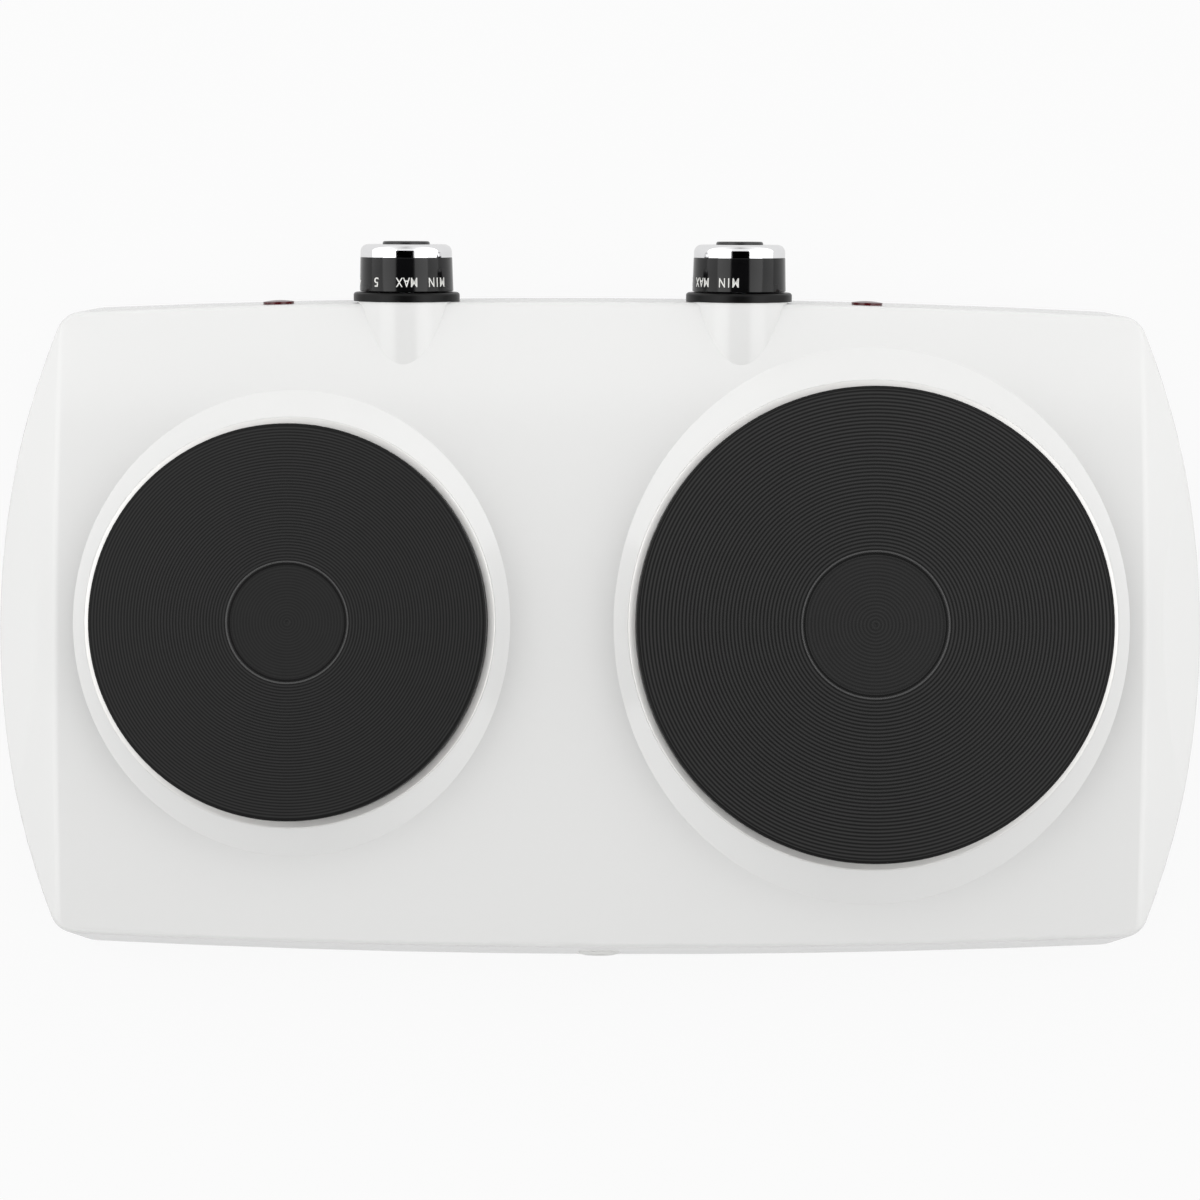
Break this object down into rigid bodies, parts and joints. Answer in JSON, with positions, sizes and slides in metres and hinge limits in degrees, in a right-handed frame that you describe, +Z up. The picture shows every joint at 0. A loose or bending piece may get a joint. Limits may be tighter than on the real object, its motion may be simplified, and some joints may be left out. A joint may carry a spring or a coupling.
{
  "type": "electric hot plate",
  "caption": "Table-top electric hot plate: a low white pressed housing with a large and a small cast iron plate, front knobs, red lamps and rubber feet.",
  "frame": {"origin": "on the table, below the middle of the whole object's box", "axes": "+Z up, -Y towards the user in front of the knobs, +X to that user's right, along the length"},
  "size_m": [0.4944, 0.2923, 0.084],
  "materials": {
    "white_enamel": "gloss white stove enamel",
    "cast_iron": "turned face with a baked black protective coat",
    "bright_steel": "polished stainless steel",
    "chrome": "bright plating",
    "black_gloss": "moulded phenolic, polished",
    "dark_insert": "moulded plastic",
    "red_lens": "clear red moulding",
    "galvanised_steel": "zinc coated sheet",
    "zinc_steel": "zinc plated",
    "foot_rubber": "moulded rubber",
    "heater_alloy": "oxidised resistance alloy",
    "mineral_board": "pressed mineral board",
    "white_ceramic": "unglazed steatite",
    "brass": "plain",
    "black_nylon": "moulded nylon",
    "white_nylon": "moulded nylon",
    "brown_silicone": "silicone covered lead",
    "black_silicone": "silicone covered lead",
    "blue_silicone": "silicone covered lead",
    "green_silicone": "silicone covered lead"
  },
  "bodies": {
    "body": {"base_plate": "galvanised_steel", "base_screws": "zinc_steel", "bush_nuts": "zinc_steel", "cord_bushing": "white_nylon", "earth_lead": "green_silicone", "earth_screw": "zinc_steel", "earth_tag": "zinc_steel", "foot_front_left": "foot_rubber", "foot_front_right": "foot_rubber", "foot_rear_left": "foot_rubber", "foot_rear_right": "foot_rubber", "housing": "white_enamel", "large_bimetal_blade": "brass", "large_bottom_cover": "galvanised_steel", "large_clamp_bridge": "galvanised_steel", "large_contact_blade": "brass", "large_heating_coil": "heater_alloy", "large_insulating_board": "mineral_board", "large_knob_bezel": "black_gloss", "large_lamp_body": "black_nylon", "large_lamp_lens": "red_lens", "large_plate": "cast_iron", "large_stud": "zinc_steel", "large_thermostat_bush": "brass", "large_thermostat_frame": "galvanised_steel", "large_thermostat_stack": "white_ceramic", "large_trim_ring": "bright_steel", "live_leads": "brown_silicone", "neutral_leads": "blue_silicone", "small_bimetal_blade": "brass", "small_bottom_cover": "galvanised_steel", "small_clamp_bridge": "galvanised_steel", "small_contact_blade": "brass", "small_heating_coil": "heater_alloy", "small_insulating_board": "mineral_board", "small_knob_bezel": "black_gloss", "small_lamp_body": "black_nylon", "small_lamp_lens": "red_lens", "small_plate": "cast_iron", "small_stud": "zinc_steel", "small_thermostat_bush": "brass", "small_thermostat_frame": "galvanised_steel", "small_thermostat_stack": "white_ceramic", "small_trim_ring": "bright_steel", "stack_screws": "zinc_steel", "stud_nuts": "zinc_steel", "switched_leads": "black_silicone", "terminal_beads": "white_ceramic", "terminal_block": "white_nylon", "terminal_pins": "heater_alloy", "terminal_screws": "zinc_steel"},
    "large_knob_assembly": {"large_knob": "black_gloss", "large_knob_cap": "chrome", "large_knob_insert": "dark_insert", "large_control_shaft": "zinc_steel"},
    "small_knob_assembly": {"small_knob": "black_gloss", "small_knob_cap": "chrome", "small_knob_insert": "dark_insert", "small_control_shaft": "zinc_steel"}
  },
  "joints": [
    {"name": "large_knob_turn", "type": "hinge", "parent": "body", "child": "large_knob_assembly", "pos_m": [-0.0552, -0.12109, 0.04657], "axis": [0, 0.9833, -0.1822], "range_deg": [-13.5, 306.5]},
    {"name": "small_knob_turn", "type": "hinge", "parent": "body", "child": "small_knob_assembly", "pos_m": [0.0783, -0.12075, 0.04657], "axis": [0, 0.9833, -0.1822], "range_deg": [-320, 0]}
  ]
}
